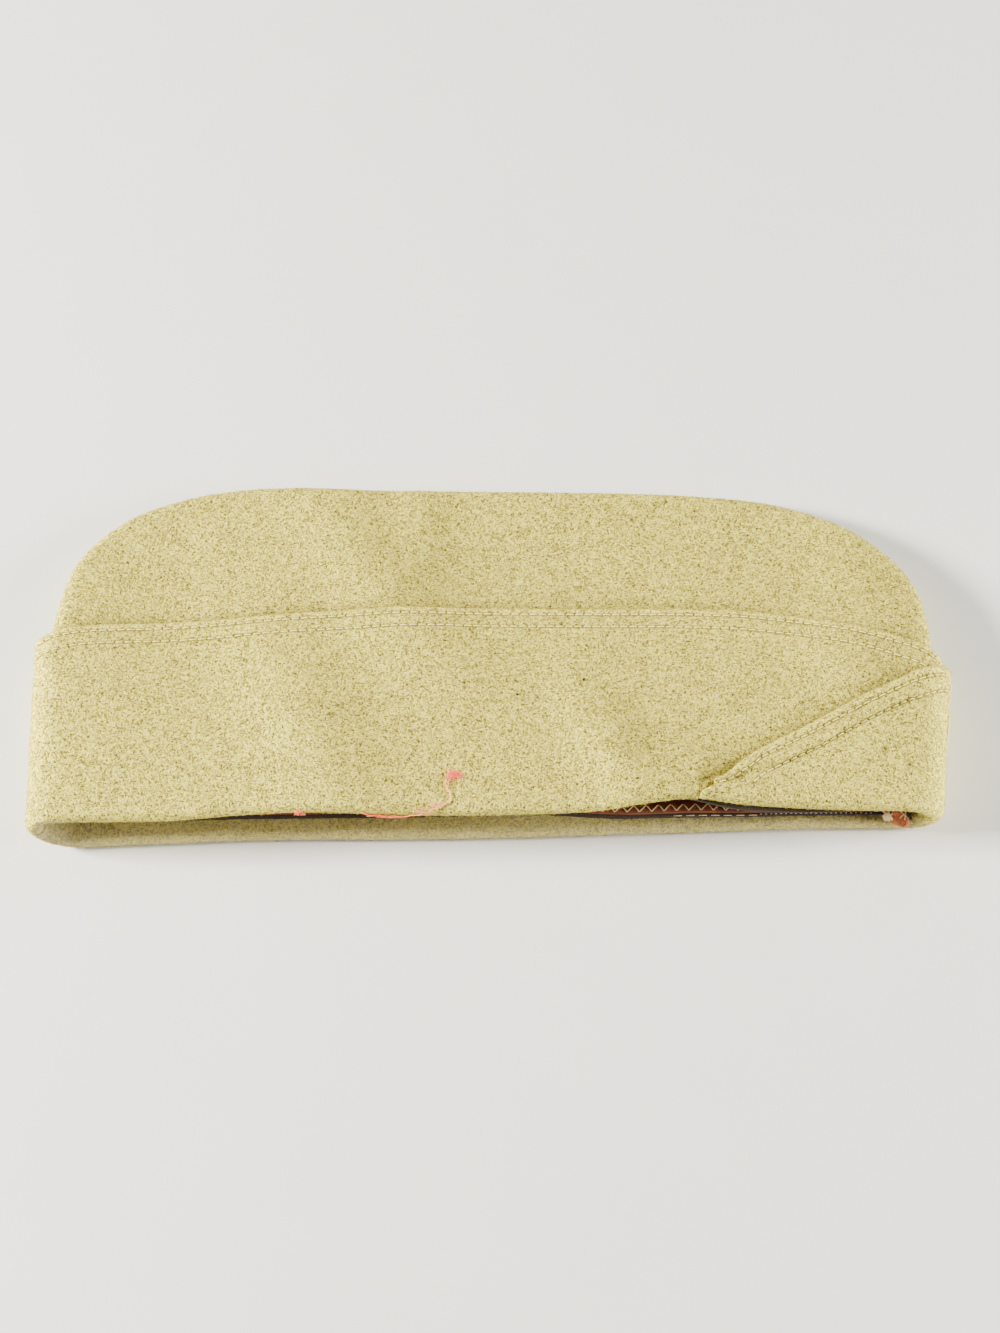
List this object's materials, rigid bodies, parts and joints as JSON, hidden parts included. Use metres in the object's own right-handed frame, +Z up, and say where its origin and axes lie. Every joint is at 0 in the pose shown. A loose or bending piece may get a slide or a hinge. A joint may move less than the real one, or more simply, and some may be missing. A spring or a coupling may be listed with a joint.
{
  "type": "garrison cap",
  "caption": "Flat folding wool garrison cap with a turned-up curtain, a front lap and a leather sweatband, lying on its left side.",
  "frame": {"origin": "middle of the cap's bounding box, on the surface that it lies on", "axes": "+X from the back to the front, +Y from the rim to the ridge of the crown, +Z up, out of the cap's right side"},
  "size_m": [0.2894, 0.128, 0.0284],
  "materials": {
    "crown_wool": "heathered olive-tan wool cloth, matt",
    "curtain_wool": "heathered olive-tan wool cloth, matt",
    "tape": "grey-brown cotton tape",
    "sweatband_leather": "red-brown leather, low sheen",
    "raw_leather": "raw tan leather end"
  },
  "bodies": {
    "root": {"crown_right": "crown_wool", "crown_left": "crown_wool", "curtain_right": "curtain_wool", "curtain_left": "curtain_wool", "sweatband_tape": "tape", "sweatband": "sweatband_leather", "sweatband_end": "raw_leather"}
  },
  "joints": []
}
